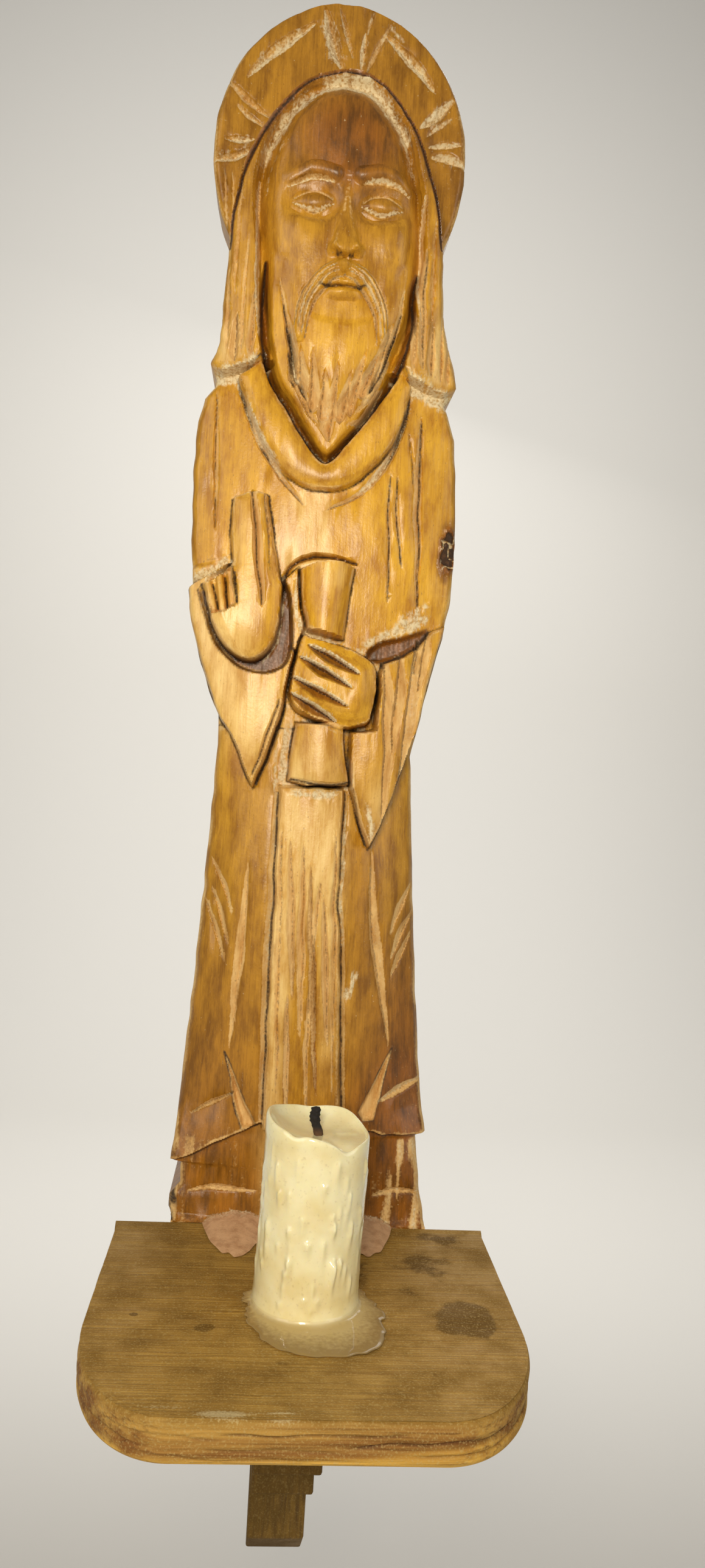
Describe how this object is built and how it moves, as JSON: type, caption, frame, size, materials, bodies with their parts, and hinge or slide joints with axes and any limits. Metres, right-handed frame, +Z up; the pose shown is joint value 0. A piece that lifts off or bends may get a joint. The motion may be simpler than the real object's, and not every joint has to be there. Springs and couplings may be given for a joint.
{
  "type": "carved wooden saint on a wall candle shelf",
  "caption": "Saint carved in relief from a thick plank, over a small round-cornered shelf with a candle stub, held from below by a stepped corbel.",
  "frame": {"origin": "on the figure's flat back, which lies on the wall, level with the top of the shelf", "axes": "+Z up, +Y into the wall, +X to the right as seen from the front"},
  "size_m": [0.1105, 0.1334, 0.4968],
  "materials": {
    "carving": "honey-coloured varnish over knife-cut softwood, pale where cuts went through it",
    "board": "thin worn varnish, dull and scuffed",
    "wax": "candle wax, satin, glossy where it ran",
    "char": "charred cotton"
  },
  "bodies": {
    "root": {"figure": "carving", "shelf": "board", "corbel": "board", "candle": "wax", "wick": "char"}
  },
  "joints": []
}
